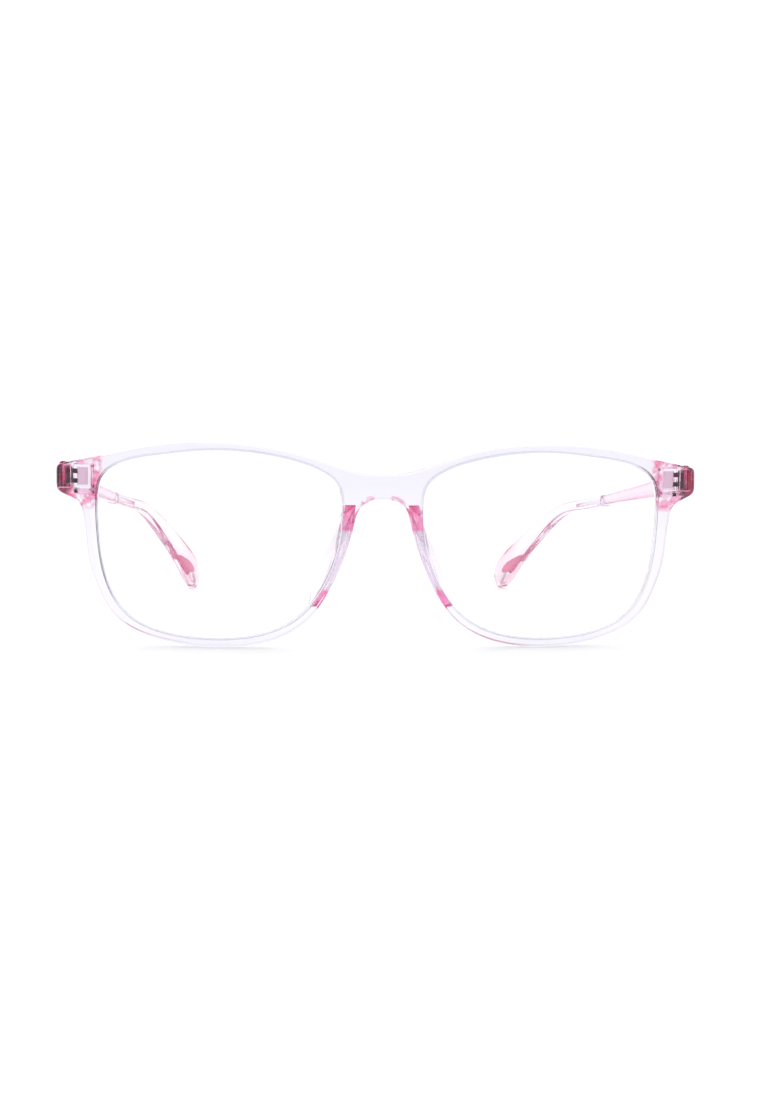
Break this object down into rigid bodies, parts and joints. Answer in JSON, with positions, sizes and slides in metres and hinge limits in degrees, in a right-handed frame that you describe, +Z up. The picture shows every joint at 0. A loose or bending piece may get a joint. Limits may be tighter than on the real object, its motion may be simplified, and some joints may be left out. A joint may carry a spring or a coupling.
{
  "type": "blue light glasses",
  "caption": "Eyeglasses with a clear rounded-square plastic front, clear lenses, fixed nose pads and slim folding temples.",
  "frame": {"origin": "centre of the overall footprint, on the surface that the glasses stand on", "axes": "+Z up, -Y the way the wearer looks, +X to the right when the front is seen from outside"},
  "size_m": [0.14, 0.128, 0.0441],
  "materials": {
    "crystal_frame": "clear polished plastic with a faint pink tint",
    "crystal_arm": "clear polished plastic with a pink tint",
    "crystal_tip": "clear polished plastic with a faint lavender and pink tint",
    "lens": "clear coated lens",
    "hinge_metal": "dark plated metal"
  },
  "bodies": {
    "front": {"front_frame": "crystal_frame", "lens_left": "lens", "lens_right": "lens", "nose_pad_left": "crystal_frame", "nose_pad_right": "crystal_frame", "front_hinge_left": "hinge_metal", "front_hinge_right": "hinge_metal", "hinge_screw_left": "hinge_metal", "hinge_screw_right": "hinge_metal"},
    "temple_left": {"temple_arm_left": "crystal_arm", "temple_tip_left": "crystal_tip", "temple_hinge_left": "hinge_metal"},
    "temple_right": {"temple_arm_right": "crystal_arm", "temple_tip_right": "crystal_tip", "temple_hinge_right": "hinge_metal"}
  },
  "joints": [
    {"name": "temple_left_fold", "type": "hinge", "parent": "front", "child": "temple_left", "pos_m": [-0.0676, -0.05095, 0.03645], "axis": [0, 0, -1], "range_deg": [0, 73]},
    {"name": "temple_right_fold", "type": "hinge", "parent": "front", "child": "temple_right", "pos_m": [0.0676, -0.05095, 0.03645], "axis": [0, 0, 1], "range_deg": [0, 78]}
  ]
}
